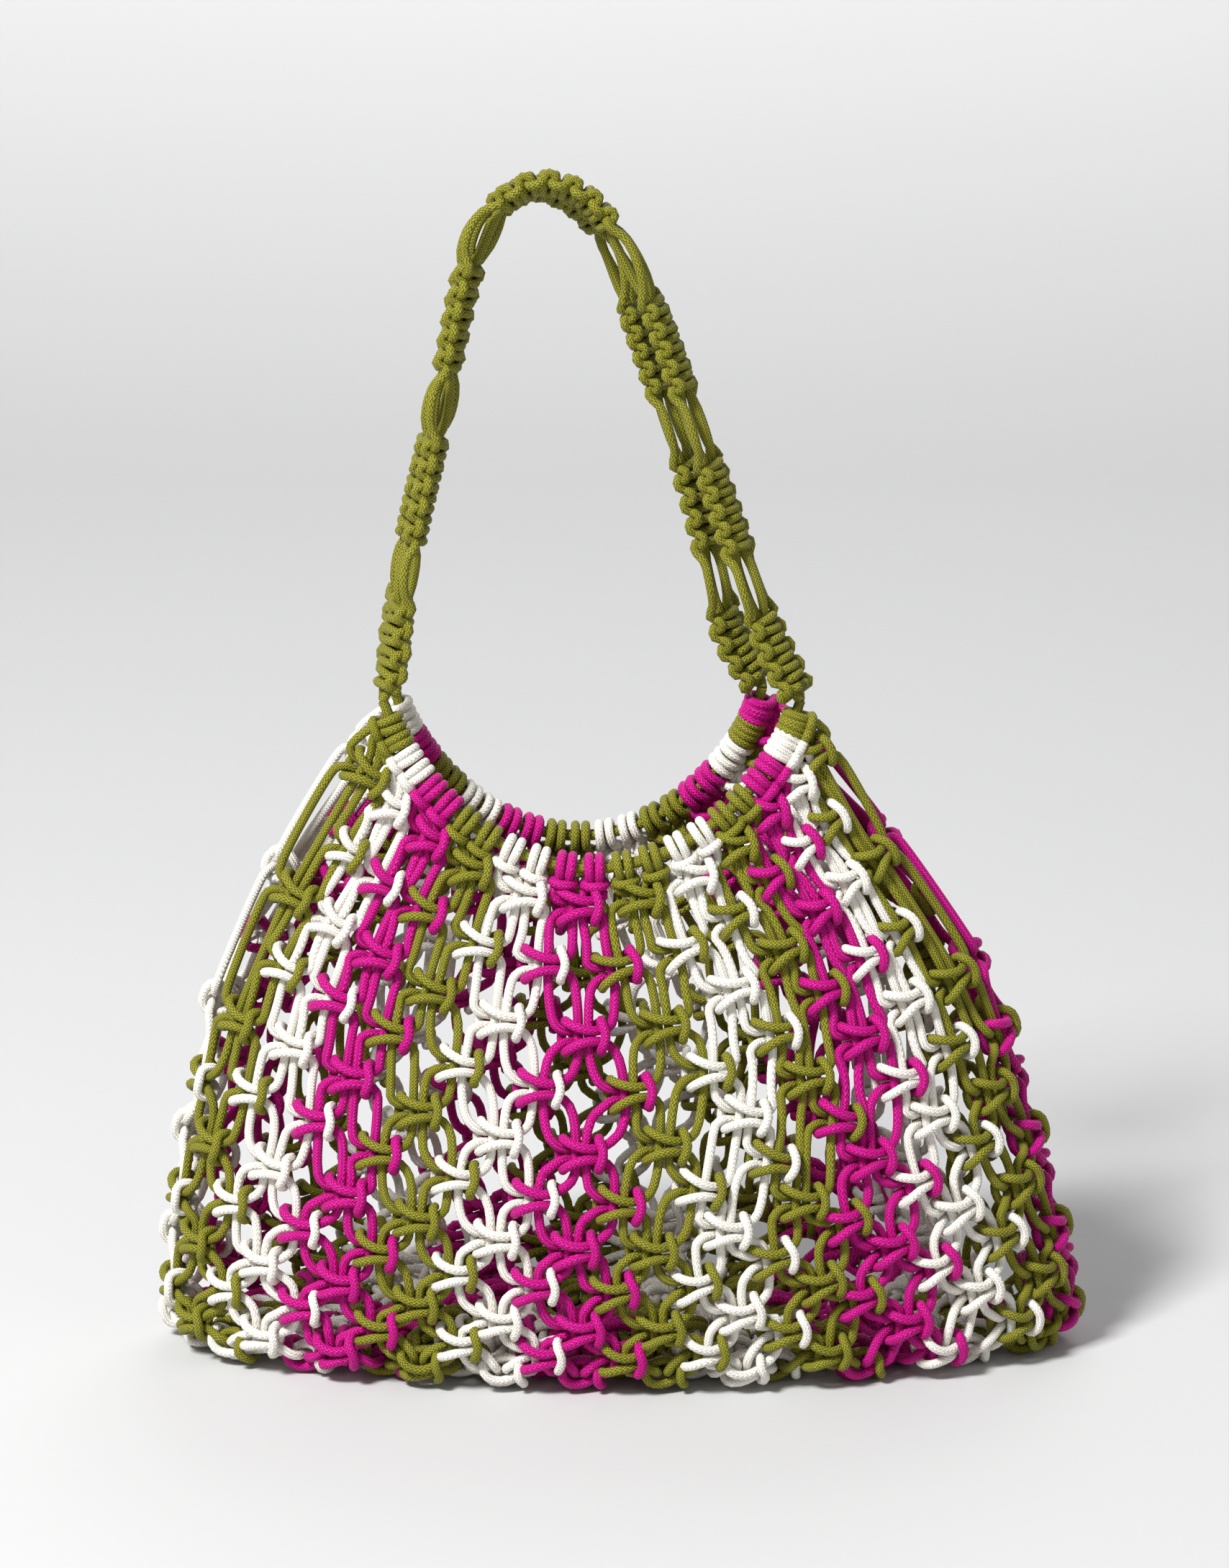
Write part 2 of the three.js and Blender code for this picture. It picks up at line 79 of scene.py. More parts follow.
# %% Floor and wall
floor_size = 6
bend_radius = 1
bend_steps = 12
bend_height = 0.6  # how far up the paper changes from its floor tone to its wall tone
floor_grey = (0.56, 0.56, 0.557, 1)
wall_grey = (0.86, 0.858, 0.852, 1)
wall_glow = 0.07
paper_roughness = 0.9


def sweep_material():
    """Matt paper whose tone and glow change with its height."""
    material = bpy.data.materials.new("sweep")
    material.use_nodes = True
    tree = material.node_tree
    shader = tree.nodes["Principled BSDF"]
    shader.inputs["Roughness"].default_value = paper_roughness
    shader.inputs["Emission Color"].default_value = wall_grey
    place = tree.nodes.new("ShaderNodeNewGeometry")
    split = tree.nodes.new("ShaderNodeSeparateXYZ")
    height = tree.nodes.new("ShaderNodeMapRange")
    height.inputs["From Max"].default_value = bend_height
    blend = tree.nodes.new("ShaderNodeMix")
    blend.data_type = "RGBA"
    blend.inputs["A"].default_value = floor_grey
    blend.inputs["B"].default_value = wall_grey
    glow = tree.nodes.new("ShaderNodeMath")
    glow.operation = "MULTIPLY"
    glow.inputs[1].default_value = wall_glow
    tree.links.new(place.outputs["Position"], split.inputs[0])
    tree.links.new(split.outputs["Z"], height.inputs["Value"])
    tree.links.new(height.outputs[0], blend.inputs["Factor"])
    tree.links.new(blend.outputs["Result"], shader.inputs["Base Color"])
    tree.links.new(height.outputs[0], glow.inputs[0])
    tree.links.new(glow.outputs[0], shader.inputs["Emission Strength"])
    return material


def add_sweep():
    """The floor and the wall behind it, joined by a soft bend."""
    sweep = bmesh.new()
    bmesh.ops.create_grid(sweep, x_segments=1, y_segments=1, size=floor_size / 2)
    back_edge = [e for e in sweep.edges if all(v.co.y > 0 for v in e.verts)]
    raised = bmesh.ops.extrude_edge_only(sweep, edges=back_edge)["geom"]
    tops = [v for v in raised if isinstance(v, bmesh.types.BMVert)]
    bmesh.ops.translate(sweep, verts=tops, vec=(0, 0, floor_size / 2))
    bmesh.ops.bevel(sweep, geom=back_edge, offset=bend_radius, segments=bend_steps,
                    profile=0.5, affect="EDGES", material=-1)
    mesh = bpy.data.meshes.new("sweep")
    sweep.to_mesh(mesh)
    sweep.free()
    mesh.polygons.foreach_set("use_smooth", [True] * len(mesh.polygons))
    mesh.materials.append(sweep_material())
    floor = bpy.data.objects.new("sweep", mesh)
    bpy.context.collection.objects.link(floor)


add_sweep()
print("sweep of", floor_size, "metres")

# %% [markdown]
# ## The light
# One lamp from above and left models the cords and throws a soft shadow to the right. A large weak
# one fills the other side, and a third shines from behind. The world is a light grey that keeps
# the gaps in the net bright.

# %% Lamps and world
lamps = [
    {"name": "key", "place": (-1.65, -1.95, 3.0), "size": 0.8, "power": 216},
    {"name": "fill", "place": (2.5, -2.1, 1.8), "size": 2.4, "power": 9},
    {"name": "rear", "place": (0.45, 2.1, 2.6), "size": 1.8, "power": 22},
]
world_colour = (0.95, 0.96, 1, 1)
world_strength = 0.3


def add_lamp(name, place, size, power):
    """A square area lamp that points at the middle of the bag."""
    data = bpy.data.lights.new(name, "AREA")
    data.size = size
    data.energy = power
    lamp = bpy.data.objects.new(name, data)
    lamp.location = place
    lamp.rotation_euler = (camera_target - Vector(place)).to_track_quat("-Z", "Y").to_euler()
    bpy.context.collection.objects.link(lamp)


for row in lamps:
    add_lamp(**row)
world = bpy.data.worlds.new("studio")
world.use_nodes = True
background = world.node_tree.nodes["Background"]
background.inputs["Color"].default_value = world_colour
background.inputs["Strength"].default_value = world_strength
bpy.context.scene.world = world
bpy.context.scene.view_settings.view_transform = "Standard"
print("lamps", [row["name"] for row in lamps])

# %% [markdown]
# ## The sizes of the bag
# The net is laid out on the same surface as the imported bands: a panel in front and one behind,
# each twelve columns wide. A short table gives the sections of that surface from the rim down to
# the fold at the base. These are the bag's driving sizes, in metres.

# %% Sizes
body_width = 0.4
body_depth = 0.16
rim_height = 0.282
rim_sag = 0.064
rim_span = 0.171
rim_depth = 0.054
rim_lean = 0.012
back_tuck = 0.009
back_lean = 0.006
back_top = 0.6
slit_gap = 0.026
side_sag = 0.01
sag_width = 0.08
sag_row = 5
level_edge = 0.85
fold_radius = 0.01
seam_inset = 0.026
knot_thickness = 0.014
clearance = 0.0003
middle_shift = -0.0008  # centres the whole length over the origin

columns = 12
groups = 2 * columns  # front and back columns, counted right round the bag
last_row = 14
slit_rows = 4
rim_row = -0.6
front, back = -1, 1

sections = [
    {"height": 0, "width": 1, "depth": 0.975, "lean": 0, "slit": 0},
    {"height": 0.042, "width": 1, "depth": 0.985, "lean": 0, "slit": 0},
    {"height": 0.157, "width": 0.974, "depth": 0.993, "lean": 0.2, "slit": 0},
    {"height": 0.28, "width": 0.943, "depth": 0.963, "lean": 0.38, "slit": 0},
    {"height": 0.391, "width": 0.902, "depth": 0.892, "lean": 0.45, "slit": 0},
    {"height": 0.502, "width": 0.866, "depth": 0.8, "lean": 0.5, "slit": 0.1},
    {"height": 0.629, "width": 0.794, "depth": 0.69, "lean": 0.7, "slit": 0.3},
    {"height": 0.766, "width": 0.675, "depth": 0.568, "lean": 0.92, "slit": 0.6},
    {"height": 0.873, "width": 0.567, "depth": 0.476, "lean": 1.15, "slit": 0.8},
    {"height": 0.96, "width": 0.5, "depth": 0.4, "lean": 1.1, "slit": 0.95},
]
row_drops = [
    {"row": 0, "middle": 0.075, "left": 0.053, "right": 0.043},
    {"row": 2, "middle": 0.337, "left": 0.243, "right": 0.195},
    {"row": 4, "middle": 0.567, "left": 0.448, "right": 0.38},
    {"row": 6, "middle": 0.77, "left": 0.665, "right": 0.57},
    {"row": 8, "middle": 0.94, "left": 0.845, "right": 0.74},
    {"row": 10, "middle": 1.065, "left": 0.99, "right": 0.905},
]
row_spreads = [
    {"row": -0.6, "crowd": 0.09, "drift": 0.04, "wrap": 0},
    {"row": 0, "crowd": 0.057, "drift": 0.04, "wrap": 0},
    {"row": 2, "crowd": 0.046, "drift": 0.035, "wrap": 0.012},
    {"row": 4, "crowd": 0.022, "drift": 0.018, "wrap": 0.02},
    {"row": 6, "crowd": 0, "drift": 0, "wrap": 0.02},
]

half_width = (body_width - knot_thickness) / 2
half_depth = (body_depth - knot_thickness) / 2
base_middle = knot_thickness / 2
fold_top = base_middle + fold_radius
fold_length = fold_radius * math.pi / 2
sections.append({"height": 1, "width": rim_span / 2 / half_width,
                 "depth": rim_depth / 2 / half_depth, "lean": 1, "slit": 1})
print("half width", half_width, "half depth", half_depth)

# %% [markdown]
# ## The surface that the knots lie on
# At each height the panel follows half an ellipse in plan. A knot's place is given by its column
# and its row, and these functions turn the two into a point in space. Below the wall the surface
# bends under and runs flat to a seam in the middle of the base.

# %% The net's surface
plan_steps = 200  # steps in which the outline of a section is measured
small_step = 1e-4
slit_power = 4  # how late the ends of a section draw in as the slit opens
sag_power = 1.5


def mix(table, key, at, name):
    """A column of a table, read between its rows."""
    return float(np.interp(at, [row[key] for row in table], [row[name] for row in table]))


def ring_place(side, height, share):
    """A point of the wall, the direction along it and how near it is to the panel's middle."""
    value = {name: mix(sections, "height", height, name) for name in sections[0]}
    upper = max((height - back_top) / (1 - back_top), 0) ** 2 if side == back else 0
    slit = (value["slit"] * slit_gap + clearance) / 2
    reach = value["width"] * half_width - back_tuck * upper
    bulge = value["depth"] * half_depth - slit
    power = 1 + value["slit"] ** slit_power

    def plan(t):
        """The outline of the section seen from above, at a share of its half turn."""
        angle = math.pi * np.asarray(t)
        return np.stack([-reach * np.cos(angle), bulge * np.abs(np.sin(angle)) ** power])

    even = np.linspace(0, 1, plan_steps + 1)
    steps = np.diff(plan(even), axis=1)
    far = np.concatenate([[0], np.cumsum(np.hypot(*steps))])
    inside = 1 - abs(1 - abs(share))
    t = float(np.interp(inside * far[-1], far, even))
    low, high = max(t - small_step, 0), min(t + small_step, 1)
    along = plan(high) - plan(low)
    along = along / np.hypot(*along)
    turn = -1 if share < 0 or share > 1 else 1
    flat = plan(t)
    lean = -value["lean"] * rim_lean - back_lean * upper
    point = np.array([lean + flat[0], side * (slit + turn * flat[1]), 0])
    return point, np.array([turn * along[0], side * along[1], 0]), math.sin(math.pi * t)


def wall_height(side, share):
    """The height of the wall from where it turns under up to the sagging rim."""
    return rim_height - rim_sag * ring_place(side, 1, share)[2] ** sag_power - fold_top


def seam_end(side, edge):
    """Where a column that comes under the base meets the middle seam."""
    reach = half_width - fold_radius
    return np.array([edge[0] * (1 - seam_inset / reach), side * clearance / 2, base_middle])


def net_point(side, share, drop):
    """The middle of the net, a way down from where the wall starts to turn under."""
    turn = min(max(drop / fold_radius, 0), math.pi / 2)
    point, along, _ = ring_place(side, max(-drop / wall_height(side, share), 0), share)
    inward = np.array([-along[1], along[0], 0]) * -side
    point = point + inward * fold_radius * (1 - math.cos(turn))
    point[2] = fold_top - min(drop, 0) - fold_radius * math.sin(turn)
    if drop > fold_length:
        end = seam_end(side, point)
        point = point + (end - point) * (drop - fold_length) / np.linalg.norm(end - point)
    return point, along


def row_drop(side, share, row):
    """How far down a row lies at a share of the panel's width."""
    wall = wall_height(side, share)
    away = min(abs(2 * share - 1) / level_edge, 1)
    away = away * away * (3 - 2 * away)
    edge = "left" if share < 0.5 else "right"
    near_end = max(1 - min(share, 1 - share) / sag_width, 0)
    sag = side_sag * near_end * min(max(row / sag_row, 0), 1)

    def stop_drop(stop):
        """How far down a row of the table lies here."""
        return wall * (stop["middle"] + (stop[edge] - stop["middle"]) * away - 1)

    wall_end = row_drops[-1]
    if row > wall_end["row"]:
        fold = net_point(side, share, fold_length)[0]
        seam = fold_length + np.linalg.norm(seam_end(side, fold) - fold)
        part = (row - wall_end["row"]) / (last_row - wall_end["row"])
        above = stop_drop(wall_end) + sag
        return above + (seam - above) * part
    index = next((i for i, stop in enumerate(row_drops) if stop["row"] > row), len(row_drops) - 1)
    stop = row_drops[max(index, 1)]
    before = row_drops[max(index, 1) - 1]
    part = (row - before["row"]) / (stop["row"] - before["row"])
    return stop_drop(before) + (stop_drop(stop) - stop_drop(before)) * part + sag


def column_share(side, column, row):
    """The share of the panel's width at which a column lies: closer at the sides, near the rim."""
    even = column / columns
    value = {name: mix(row_spreads, "row", row, name) for name in row_spreads[0]}
    return (even - value["crowd"] * math.sin(2 * math.pi * even)
            + value["drift"] * 2 * even * math.sin(math.pi * even)
            - side * value["wrap"] * math.cos(math.pi * even))


def panel_place(side, column, row):
    """The point of a panel at a column and a row."""
    share = column_share(side, column, row)
    return net_point(side, share, row_drop(side, share, row))[0] + [middle_shift, 0, 0]


def unit(vector):
    """The vector at a length of one."""
    return vector / np.linalg.norm(vector)


def round_place(place, row):
    """A place counted in columns right round the bag: the front's twelve, then the back's."""
    place = place % groups
    if place in (0, columns):
        column = place
        return (panel_place(front, column, row) + panel_place(back, column, row)) / 2
    if place < columns:
        return panel_place(front, place, row)
    return panel_place(back, groups - place, row)


print("rim middle", panel_place(front, columns / 2, rim_row).round(3))

# %% [markdown]
# ## A frame for each knot
# A knot is tied once, in a little space of its own: x to the right as seen from outside the bag,
# y down the column, and a third direction straight out. This gives each knot its place and turns
# it along its own column, so knots on the leaning sides of the bag lean as well.

# %% Knot frames
look_around = 0.4  # how far off a direction is measured, in rows or columns


def knot_frame(place, row):
    """A knot's middle, and its directions right, down and out."""
    middle = round_place(place, row)
    down = round_place(place, row + look_around) - round_place(place, row - look_around)
    aside = round_place(place + look_around, row) - round_place(place - look_around, row)
    down = unit(down)
    out = unit(np.cross(down, aside))
    return middle, np.cross(out, down), down, out


def put(points, knot, size):
    """Brings points from a knot's own space, in cord diameters, to the bag."""
    middle, right, down, out = knot
    points = np.asarray(points)
    return middle + size * (points[:, :1] * right + points[:, 1:2] * down + points[:, 2:] * out)


middle_knot = knot_frame(columns / 2, 6)
print("knot looks out along", middle_knot[3].round(2), "and down", middle_knot[2].round(2))

# %% [markdown]
# ## Tying and tightening
# A knot's route is first laid out loosely, with a dozen points for each cord. Then it is
# tightened as a hand does: each cord is pulled a little straighter, and wherever two cords come
# closer than their thickness they push each other apart. After a few dozen rounds the cords rest
# against each other.

# %% Smooth routes
spline_cuts = 10  # cuts between two of the given points, before they are evened out
nearly_zero = 1e-9


def lengths_along(points):
    """The length along a route from its start to each of its points."""
    return np.concatenate([[0], np.cumsum(np.linalg.norm(np.diff(points, axis=0), axis=1))])


def spline(points, step):
    """A centripetal Catmull-Rom curve through the points, cut into about equal steps."""
    p = np.asarray(points, float)
    p = np.vstack([2 * p[0] - p[1], p, 2 * p[-1] - p[-2]])
    stretch = np.maximum(np.linalg.norm(np.diff(p, axis=0), axis=1), nearly_zero) ** 0.5
    fine = []
    for i in range(1, len(p) - 2):
        before, here, after = stretch[i - 1:i + 2]
        u = np.linspace(0, here, spline_cuts, endpoint=False)[:, None]
        a1 = p[i] + (p[i] - p[i - 1]) * u / before
        a2 = p[i] + (p[i + 1] - p[i]) * u / here
        a3 = p[i + 1] + (p[i + 2] - p[i + 1]) * (u - here) / after
        b1 = a1 + (a2 - a1) * (u + before) / (here + before)
        b2 = a2 + (a3 - a2) * u / (here + after)
        fine.append(b1 + (b2 - b1) * u / here)
    fine = np.vstack(fine + [p[-2]])
    far = lengths_along(fine)
    at = np.linspace(0, far[-1], max(int(round(far[-1] / step)), 2) + 1)
    return np.column_stack([np.interp(at, far, fine[:, k]) for k in range(3)])


print("spline of 3 points has", len(spline([(0, 0, 0), (1, 0, 0), (1, 1, 0)], 0.25)), "steps")

# %% Tightening
own_reach = 1.6  # how far along itself a cord doesn't push, in cord diameters
pushes = 2  # pushes in each round
push_share = 0.4  # of the overlap of two cords that both give way
fixed_share = 0.8  # of the overlap with a cord that stays


def pushed(x, others, near, spacing):
    """How far each point must move to lie the spacing away from the others."""
    gap = x[:, None] - others[None, :]
    far = np.linalg.norm(gap, axis=2) + nearly_zero
    push = np.where(near, 0, np.maximum(spacing - far, 0))
    touching = np.maximum((push > 0).sum(1), 1)[:, None]
    return (gap / far[..., None] * push[..., None]).sum(1) / touching ** 0.5


def tighten(moving, still, rounds=60, pull=0.1, step=0.25, spacing=1):
    """Pulls the moving cords taut round the still ones. All sizes are in cord diameters."""
    routes = [spline(points, step) for points in moving]
    fixed = np.vstack([spline(points, step) for points in still])
    sizes = [len(route) for route in routes]
    ends = np.cumsum([0] + sizes)
    x = np.vstack(routes)
    cord = np.repeat(np.arange(len(routes)), sizes)
    number = np.concatenate([np.arange(size) for size in sizes])
    near = (cord[:, None] == cord) & (abs(number[:, None] - number) < own_reach / step)
    never = np.zeros((len(x), len(fixed)), bool)
    loose = np.ones(len(x), bool)
    for start, end in zip(ends, ends[1:]):
        loose[[start, start + 1, end - 2, end - 1]] = False
    for _ in range(rounds):
        straighter = np.zeros_like(x)
        straighter[1:-1] = (x[:-2] + x[2:]) / 2 - x[1:-1]
        x[loose] += pull * straighter[loose]
        for _ in range(pushes):
            x[loose] += push_share * pushed(x, x, near, spacing)[loose]
            x[loose] += fixed_share * pushed(x, fixed, never, spacing)[loose]
    return [x[start:end] for start, end in zip(ends, ends[1:])]


crossed = tighten([[(-2, 0, 0.2), (0, 0, 0.2), (2, 0, 0.2)]], [[(0, -2, 0), (0, 0, 0), (0, 2, 0)]])
print("a cord laid over another at 0.2 is pushed up to", round(float(crossed[0][:, 2].max()), 2))

# %% [markdown]
# ## The square knot
# Four cords go in and four come out. The inner two run straight through. The right one crosses
# over them to the left and back, and makes the two bars of the knot. The left one passes behind
# them and comes up on the right over the bars, as a short upright loop. Both routes are the same
# curve, turned half round, so only the right one is written down.

# %% Square knot
knot_route = [
    (2.8, -1.15, 0), (2.2, -0.75, 0.05), (1.4, -0.42, 0.6), (0.5, -0.5, 1.05),
    (-0.5, -0.8, 1.2), (-1.35, -1.2, 0.95), (-1.9, -1.55, 0.1), (-1.6, -1.35, -0.8),
    (-2.0, -0.7, -1.15), (-2.25, 0, -1.2),
]
inner_place = 0.5  # of the two cords that run straight through
inner_reach = 1.5


def there_and_back(half):
    """A route whose second half mirrors its first half, top to bottom."""
    half = np.asarray(half, float)
    return np.vstack([half, half[-2::-1] * [1, -1, 1]])


def tie_square_knot():
    """The routes of the four cords: left, inner left, inner right and right."""
    right = there_and_back(knot_route)
    left = right * [-1, 1, -1]
    inner = [[(x, y, 0) for y in (-inner_reach, 0, inner_reach)]
             for x in (-inner_place, inner_place)]
    left, right = tighten([left, right], inner, rounds=24, pull=0.04)
    return [left, np.array(inner[0]), np.array(inner[1]), right]


square_knot = tie_square_knot()
print("square knot", [len(route) for route in square_knot], "points")

# %% [markdown]
# ## The loop over the rim
# Each cord is folded in half and looped over the rim cord. Its two legs come down in front of the
# rim as two upright wraps and go through the loop, which lies across them as a bar.

# %% Loops over the rim
loop_squeeze = 0.8  # how close a folded cord's own parts press together
loop_ends = 3  # points at each end of the tightened route that are left out
rim_cord_reach = 2.5
loop_route = [
    (0.45, 2.6, 0.2), (0.42, 1.7, 0.45), (0.48, 0.7, 1.3), (0.52, -0.2, 1.5), (0.52, -0.9, 1.0),
    (0.5, -1.1, 0), (0.5, -0.9, -1.0), (0.5, -0.2, -1.5), (0.55, 0.6, -1.4), (0.62, 1.25, -0.8),
    (0.72, 1.55, 0.2), (0.68, 1.55, 1.1), (0.4, 1.62, 1.6), (0, 1.68, 1.7),
]


def tie_rim_loop():
    """The route of one folded cord over the two rim cords, from its left leg to its right."""
    half = np.array(loop_route, float)
    whole = np.vstack([half * [-1, 1, 1], half[-2::-1]])
    rim_cords = [[(x, 0, n) for x in (-rim_cord_reach, 0, rim_cord_reach)] for n in (-0.5, 0.5)]
    tied = tighten([whole], rim_cords, rounds=16, pull=0.04, spacing=loop_squeeze)[0]
    return tied[loop_ends:-loop_ends]


rim_loop = tie_rim_loop()
print("rim loop", len(rim_loop), "points")

# %% [markdown]
# ## Which cord goes where
# In an even row each group of four ties its own knot. In an odd row a group lends its left pair to
# the knot on its left and its right pair to the one on its right, and the inner and outer cords
# change parts. Down to the fourth row the two panels aren't joined, and the outer pair of the end
# groups runs past that knot. A strand that ties at one knot and runs through the next swings out
# between them, because it leaves the one level and enters the other upright.

# %% Routes through the net
knot_size = 0.0043
cord_sizes = {"green": 0.0039, "white": 0.0039, "pink": 0.0042}
roomy = 6  # the column spacing, in knot sizes, above which a knot keeps its full width
least_width = 0.72
bow_pull = 0.65  # how far a strand swings toward the corner of its way
shortest_bow = 0.004
bow_parts = (0.25, 0.5, 0.75)
hand_tilt = 0.05  # how unevenly the knots are tied, in radians and metres
hand_shift = 0.0005
base_lift = 0.0008  # keeps the bumps of the base knots off the floor
crossed_parts = (2, 3, 0, 1)  # the part each strand plays in an odd row
tying_seed = 11
rng = np.random.default_rng(tying_seed)
knot_frames = {}


def frame_of(place, row):
    """The frame of a knot, with the small irregularity of one tied by hand."""
    key = (place % groups, row)
    if key not in knot_frames:
        middle, right, down, out = knot_frame(*key)
        middle = middle + [0, 0, base_lift * max(-out[2], 0)]
        tilt = rng.normal(0, hand_tilt)
        shift = rng.normal(0, hand_shift, 2)
        apart = np.linalg.norm(round_place(place + 0.5, row) - round_place(place - 0.5, row))
        width = min(max(apart / knot_size / roomy, least_width), 1)
        right, down = (width * (math.cos(tilt) * right + math.sin(tilt) * down),
                       math.cos(tilt) * down - math.sin(tilt) * right)
        knot_frames[key] = (middle + shift[0] * right + shift[1] * down, right, down, out)
    return knot_frames[key]


def knot_part(group, strand, row):
    """The knot that a strand goes through in a row, and the part it plays there."""
    if row % 2 == 0:
        return group + 0.5, strand
    place = group if strand < 2 else group + 1
    if row < slit_rows and place % columns == 0:
        return None
    return place, crossed_parts[strand]


def bowed(start, end, down, leaves_level):
    """A strand between two knots: level at the one where it ties, upright at the other."""
    drop = down * ((end - start) @ down)
    corner = end - drop if leaves_level else start + drop
    middle = (start + end) / 2
    corner = middle + bow_pull * (corner - middle)
    return np.array([(1 - t) ** 2 * start + 2 * t * (1 - t) * corner + t * t * end
                     for t in bow_parts])


def strand_route(group, strand, first, final):
    """The points of one strand from its first row of knots to its final one."""
    parts = []
    before = None
    for row in range(first, final + 1):
        found = knot_part(group, strand, row)
        if not found:
            continue
        place, part = found
        points = put(square_knot[part], frame_of(place, row), knot_size)
        ties = part in (0, 3)
        if before is not None and before[1] != ties:
            leave, enter = before[0], points[0]
            if np.linalg.norm(enter - leave) > shortest_bow:
                parts.append(bowed(leave, enter, frame_of(place, row)[2], before[1]))
        parts.append(points)
        before = (points[-1], ties)
    return parts


print("strand 0 of group 0 meets", len(strand_route(0, 0, 0, last_row)), "knots")

# %% [markdown]
# ## Places on the rim
# The rim cord follows the net's upper edge. A loop gets a frame there as a knot does, turned along
# the rim, and it is made narrower where the columns crowd toward the ends.

# %% Rim frames
loop_size = 0.0041
loop_room = 2.4  # the spacing of two loops, in loop sizes, at which they keep their width
most_width = 1.05
rim_look = 0.1  # how far off the rim's direction is measured, in columns
half_loop = 0.25  # from the middle of a loop to its edge, in columns


def rim_point(side, column):
    """A point on the rim, at the height of the rim cord."""
    share = column_share(side, column, rim_row)
    return net_point(side, share, -wall_height(side, share))[0] + [middle_shift, 0, 0]


def rim_frame(side, column):
    """A place on the rim with its directions right, down and out, as seen from outside."""
    before = rim_point(side, max(column - rim_look, 0))
    after = rim_point(side, min(column + rim_look, columns))
    right = unit(after - before) * -side
    down = unit(np.cross(np.array([0, side, 0]), right))
    down = down if down[2] < 0 else -down
    return rim_point(side, column), right, down, np.cross(right, -down)


def loop_of(group, number):
    """One folded cord on the rim. Each group has two, on its left and its right half."""
    place = group + half_loop * (1 + 2 * number)
    side, column = (front, place) if place < columns else (back, groups - place)
    middle, right, down, out = rim_frame(side, column)
    edges = rim_point(side, column + half_loop), rim_point(side, column - half_loop)
    apart = np.linalg.norm(edges[0] - edges[1])
    width = min(max(apart / loop_size / loop_room, least_width), most_width)
    return put(rim_loop, (middle, width * right, down, out), loop_size)


print("rim ends", rim_point(front, 0).round(3), rim_point(front, columns).round(3))

# %% [markdown]
# ## From a route to a cord
# A curve with a round bevel makes the tube. Its mesh gets a UV map that counts real length along
# the cord and turns round it, so that the braid keeps its scale on every cord.

# %% Cord pieces
cord_sides = 10
soft_rounds = 6  # rounds of smoothing, which takes the corners out of a route
straight_step = 0.0034
bend_step = 0.0017
bend_angle = 0.3  # in radians


def thinned(route):
    """Keeps points close together in bends and further apart where the cord runs straight."""
    fine = spline(route, bend_step / 2)
    for _ in range(soft_rounds):
        fine[1:-1] = fine[1:-1] / 2 + (fine[:-2] + fine[2:]) / 4
    kept = [0]
    heading = unit(fine[1] - fine[0])
    for i in range(1, len(fine) - 1):
        ahead = unit(fine[i + 1] - fine[i])
        run = np.linalg.norm(fine[i] - fine[kept[-1]])
        bent = math.acos(min(max(float(ahead @ heading), -1), 1))
        if run >= straight_step or (run >= bend_step and bent > bend_angle):
            kept.append(i)
            heading = ahead
    return fine[kept + [len(fine) - 1]]


def cord_curve(name, routes, size):
    """A curve with a round bevel along each of the routes."""
    curve = bpy.data.curves.new(name, "CURVE")
    curve.dimensions = "3D"
    curve.bevel_depth = size / 2
    curve.bevel_resolution = (cord_sides - 4) // 2  # each step adds two sides to the first four
    curve.use_fill_caps = True
    for route in routes:
        tube = curve.splines.new("POLY")
        tube.points.add(len(route) - 1)
        tube.points.foreach_set("co", np.column_stack([route, np.ones(len(route))]).ravel())
    return curve


def measure_uv(mesh, routes):
    """Gives the mesh's UV map the real length along each cord, in metres."""
    ring = len(mesh.vertices) // sum(len(route) for route in routes)
    corners = np.zeros(len(mesh.loops), int)
    mesh.loops.foreach_get("vertex_index", corners)
    uv = np.zeros(2 * len(mesh.loops), np.float32)
    mesh.uv_layers[0].data.foreach_get("uv", uv)
    uv = uv.reshape(-1, 2)
    starts = np.cumsum([0] + [len(route) * ring for route in routes])
    which = np.searchsorted(starts, corners, side="right") - 1
    for number, route in enumerate(routes):
        mine = which == number
        uv[mine, 0] = lengths_along(route)[(corners[mine] - starts[number]) // ring]
    mesh.uv_layers[0].data.foreach_set("uv", uv.ravel())


def cord_mesh(name, routes, size):
    """Joined tubes along the routes, with their UV map in metres along and turns around."""
    holder = bpy.data.objects.new(name, cord_curve(name, routes, size))
    bpy.context.collection.objects.link(holder)
    mesh = bpy.data.meshes.new_from_object(holder)
    bpy.data.objects.remove(holder)
    measure_uv(mesh, routes)
    mesh.polygons.foreach_set("use_smooth", np.ones(len(mesh.polygons), bool))
    return mesh


total_length = 0
total_faces = 0


def add_cords(name, node, routes, colour):
    """One dressed piece in place of one CAD node."""
    global total_length, total_faces
    routes = [thinned(route) for route in routes]
    mesh = cord_mesh(name, routes, cord_sizes[colour])
    mesh.materials.append(cord_materials[colour])
    piece = bpy.data.objects.new(name, mesh)
    bpy.context.collection.objects.link(piece)
    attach(piece, "root")
    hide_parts(node)
    total_length += sum(lengths_along(route)[-1] for route in routes)
    total_faces += len(mesh.polygons)


print("a cord has", cord_sides, "sides")

# %% [markdown]
# ## The braid
# The cord is braided from flat bundles of thread that cross at a steep angle, so its surface is a
# fine chequer of short slanted ridges. A node group works that out from the UV map: the two
# slanted counts of bundles tell each little field which way its ridge runs.

# %% Braid group
bundle_length = 0.0014  # of one field of the braid along the cord, in metres
bundles_around = 8.0
tone_scale = 260


